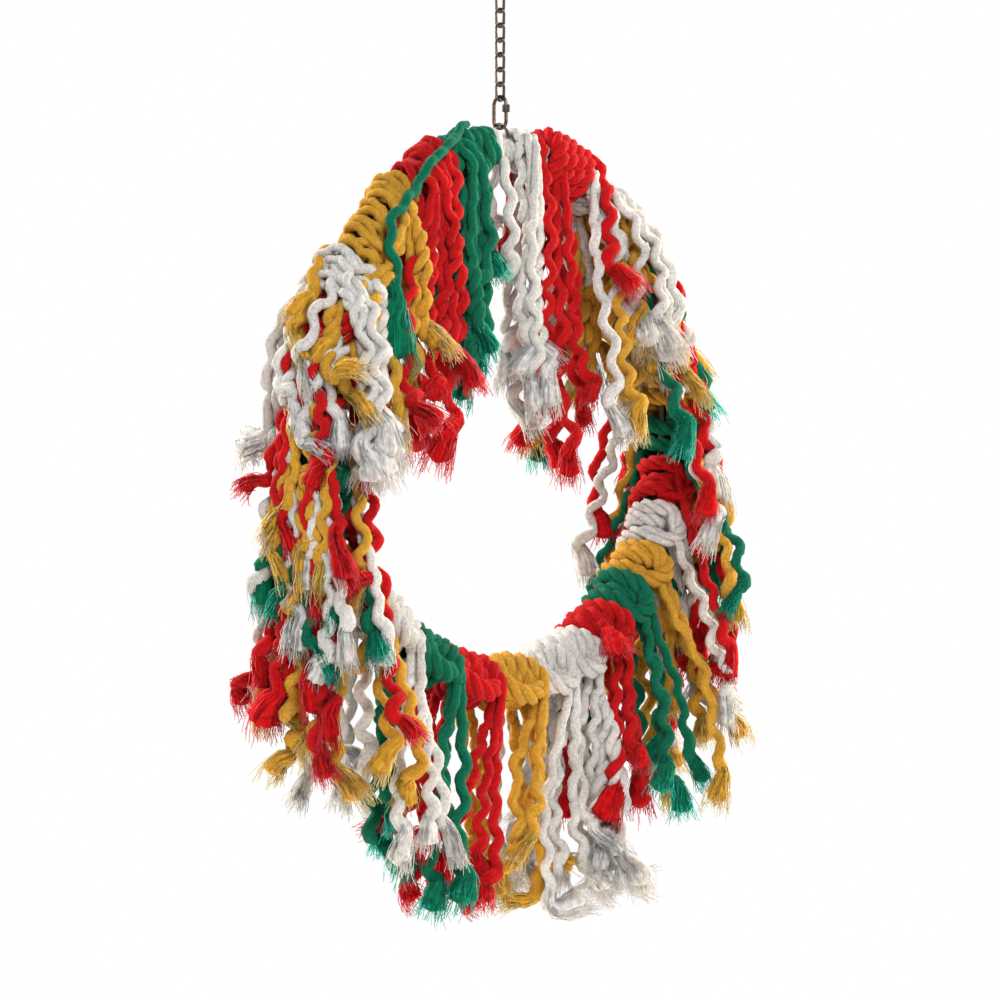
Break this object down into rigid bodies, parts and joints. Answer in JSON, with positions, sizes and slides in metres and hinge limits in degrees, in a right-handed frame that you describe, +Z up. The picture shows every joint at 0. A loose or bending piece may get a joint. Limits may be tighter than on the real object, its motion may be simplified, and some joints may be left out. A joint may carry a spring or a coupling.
{
  "type": "rope ring bird swing",
  "caption": "Hanging bird swing: a steel hoop wound with lengths of coloured cotton rope, whose unlaid ends hang as a fringe, on a twisted chain with quick links",
  "frame": {"origin": "inside top of the upper quick link, where the swing hangs on its hook", "axes": "+Z up; the hoop lies in the XZ plane, with its front towards -Y"},
  "size_m": [0.4003, 0.1395, 0.6523],
  "materials": {
    "zinc_steel": "zinc plated steel wire",
    "white_cotton": "undyed bleached cotton rope",
    "red_cotton": "dyed cotton rope",
    "green_cotton": "dyed cotton rope",
    "gold_cotton": "dyed cotton rope"
  },
  "bodies": {
    "upper_quick_link": {"upper_quick_link": "zinc_steel"},
    "upper_link_nut": {"upper_link_nut": "zinc_steel"},
    "chain_link_1": {"chain_link_1": "zinc_steel"},
    "chain_link_2": {"chain_link_2": "zinc_steel"},
    "chain_link_3": {"chain_link_3": "zinc_steel"},
    "chain_link_4": {"chain_link_4": "zinc_steel"},
    "chain_link_5": {"chain_link_5": "zinc_steel"},
    "chain_link_6": {"chain_link_6": "zinc_steel"},
    "chain_link_7": {"chain_link_7": "zinc_steel"},
    "lower_quick_link": {"lower_quick_link": "zinc_steel"},
    "lower_link_nut": {"lower_link_nut": "zinc_steel"},
    "hoop": {"steel_hoop": "zinc_steel", "hoop_eye": "zinc_steel", "white_rope_01": "white_cotton", "red_rope_02": "red_cotton", "white_rope_03": "white_cotton", "gold_rope_04": "gold_cotton", "green_rope_05": "green_cotton", "red_rope_06": "red_cotton", "white_rope_07": "white_cotton", "gold_rope_08": "gold_cotton", "green_rope_09": "green_cotton", "red_rope_10": "red_cotton", "white_rope_11": "white_cotton", "gold_rope_12": "gold_cotton", "green_rope_13": "green_cotton", "red_rope_14": "red_cotton", "white_rope_15": "white_cotton", "white_rope_16": "white_cotton", "gold_rope_17": "gold_cotton", "red_rope_18": "red_cotton", "green_rope_19": "green_cotton", "white_rope_20": "white_cotton", "gold_rope_21": "gold_cotton", "red_rope_22": "red_cotton", "green_rope_23": "green_cotton", "white_rope_24": "white_cotton", "gold_rope_25": "gold_cotton", "red_rope_26": "red_cotton", "white_rope_27": "white_cotton", "gold_rope_28": "gold_cotton", "gold_rope_29": "gold_cotton", "red_rope_30": "red_cotton", "green_rope_31": "green_cotton"}
  },
  "joints": [
    {"name": "link_1_swing", "type": "hinge", "parent": "upper_quick_link", "child": "chain_link_1", "pos_m": [0, 0, -0.02045], "axis": [1, 0, 0], "range_deg": [-35, 35]},
    {"name": "link_2_swing", "type": "hinge", "parent": "chain_link_1", "child": "chain_link_2", "pos_m": [0, 0, -0.028], "axis": [0, 1, 0], "range_deg": [-35, 35]},
    {"name": "link_3_swing", "type": "hinge", "parent": "chain_link_2", "child": "chain_link_3", "pos_m": [0, 0, -0.0405], "axis": [-1, 0, 0], "range_deg": [-35, 35]},
    {"name": "link_4_swing", "type": "hinge", "parent": "chain_link_3", "child": "chain_link_4", "pos_m": [0, 0, -0.0484], "axis": [0, -1, 0], "range_deg": [-35, 35]},
    {"name": "link_5_swing", "type": "hinge", "parent": "chain_link_4", "child": "chain_link_5", "pos_m": [0, 0, -0.0609], "axis": [1, 0, 0], "range_deg": [-35, 35]},
    {"name": "link_6_swing", "type": "hinge", "parent": "chain_link_5", "child": "chain_link_6", "pos_m": [0, 0, -0.0688], "axis": [0, 1, 0], "range_deg": [-35, 35]},
    {"name": "link_7_swing", "type": "hinge", "parent": "chain_link_6", "child": "chain_link_7", "pos_m": [0, 0, -0.0813], "axis": [-1, 0, 0], "range_deg": [-35, 35]},
    {"name": "lower_link_swing", "type": "hinge", "parent": "chain_link_7", "child": "lower_quick_link", "pos_m": [0, 0, -0.08885], "axis": [0, -1, 0], "range_deg": [-35, 35]},
    {"name": "hoop_swing", "type": "hinge", "parent": "lower_quick_link", "child": "hoop", "pos_m": [0, 0, -0.1079], "axis": [1, 0, 0], "range_deg": [-45, 45]},
    {"name": "upper_nut_travel", "type": "slide", "parent": "upper_quick_link", "child": "upper_link_nut", "axis": [0, 0, -1], "range_m": [0, 0.0044]},
    {"name": "lower_nut_travel", "type": "slide", "parent": "lower_quick_link", "child": "lower_link_nut", "axis": [0, 0, -1], "range_m": [0, 0.0044]}
  ]
}
